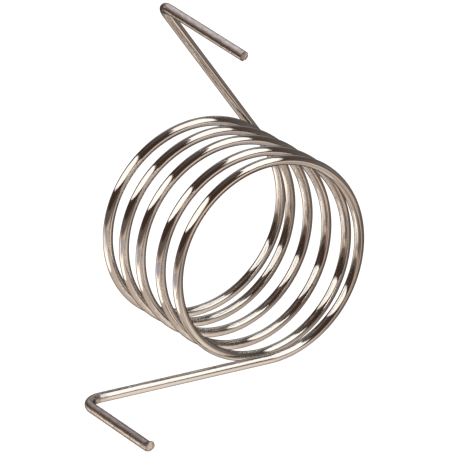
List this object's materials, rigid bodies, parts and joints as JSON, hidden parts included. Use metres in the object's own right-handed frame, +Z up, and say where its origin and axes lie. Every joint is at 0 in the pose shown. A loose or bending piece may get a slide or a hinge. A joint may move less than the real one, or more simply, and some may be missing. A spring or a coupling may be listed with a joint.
{
  "type": "torsion spring",
  "caption": "Torsion spring of bright round wire: an open coil with a straight leg off each end, each leg turned at its tip into a hook that points forwards.",
  "frame": {"origin": "on the coil's axis, halfway between the middles of its two end turns", "axes": "+Z up with the spring lying on its side, -Y along the coil's axis towards the front leg and the way both hooks point, -X the way the front leg runs out along the ground"},
  "size_m": [0.0325, 0.0265, 0.034],
  "materials": {
    "plated_wire": "bright nickel-plated spring steel wire, drawn smooth, with dull sheared ends"
  },
  "bodies": {
    "root": {"spring_wire": "plated_wire"}
  },
  "joints": []
}
